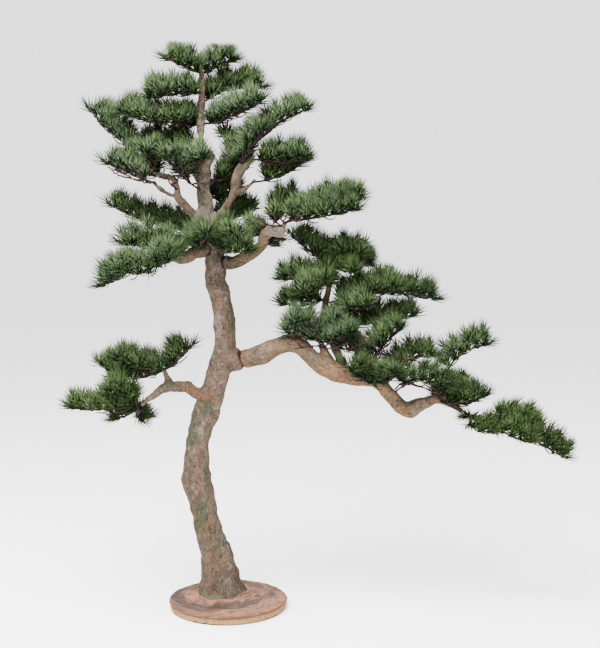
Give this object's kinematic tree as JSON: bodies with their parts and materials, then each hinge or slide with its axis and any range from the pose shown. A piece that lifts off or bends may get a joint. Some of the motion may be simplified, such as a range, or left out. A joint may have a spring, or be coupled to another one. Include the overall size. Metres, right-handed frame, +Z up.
{
  "type": "garden pine bonsai",
  "caption": "Large artificial pine trained as a bonsai: bent moulded trunk on a round board, plug-in limbs and layered pads of needles.",
  "frame": {"origin": "centre of the round board's underside, on the floor", "axes": "+Z up along the trunk, -Y towards the viewer's side of the tree, +X towards the long low limb"},
  "size_m": [1.8388, 0.5237, 1.9783],
  "materials": {
    "bark": "moulded bark in vertical ridges, dull brown with orange and grey-green stains",
    "coat": "trowelled terracotta coat with grey and purple smears, matt",
    "board": "raw fibre board with a rough yellowish sawn edge",
    "rubber": "matt black",
    "wire": "thin dark brown binding wire",
    "twig": "purple-brown wrapped stems, matt",
    "needle": "deep green needles with lighter yellow-green tips, slight sheen"
  },
  "bodies": {
    "root": {"base_board": "board", "base_coat": "coat", "limb_low_right": "bark", "limb_up_left": "bark", "limb_up_right": "bark", "sleeve_low_right": "rubber", "sleeve_up_left": "rubber", "sleeve_up_right": "rubber", "spray_apex_left": "needle", "spray_apex_right": "needle", "spray_back_right_low": "needle", "spray_back_right_top": "needle", "spray_far_left": "needle", "spray_far_right": "needle", "spray_front_centre": "needle", "spray_left_back_arm": "needle", "spray_left_front_low": "needle", "spray_left_front_right": "needle", "spray_left_front_top": "needle", "spray_left_low": "needle", "spray_left_low_tip": "needle", "spray_left_top": "needle", "spray_limb_front": "needle", "spray_limb_mid": "needle", "spray_limb_mid_right": "needle", "spray_mid_left_far": "needle", "spray_mid_left_low": "needle", "spray_mid_left_tied": "needle", "spray_mid_right": "needle", "spray_mid_right_low": "needle", "spray_right_big": "needle", "spray_right_big_back": "needle", "spray_right_lower": "needle", "spray_right_lower_back": "needle", "spray_right_lower_far": "needle", "spray_right_small": "needle", "spray_right_under": "needle", "spray_riser_centre": "needle", "spray_riser_far": "needle", "spray_riser_left": "needle", "spray_riser_left_low": "needle", "spray_riser_low": "needle", "spray_riser_top": "needle", "spray_second_left": "needle", "spray_second_right": "needle", "spray_second_right_back": "needle", "spray_stub_top": "needle", "spray_third_back": "needle", "spray_third_left": "needle", "spray_third_left_low": "needle", "spray_third_right": "needle", "spray_tied_right": "needle", "tie_wire": "wire", "trunk": "bark"}
  },
  "joints": []
}
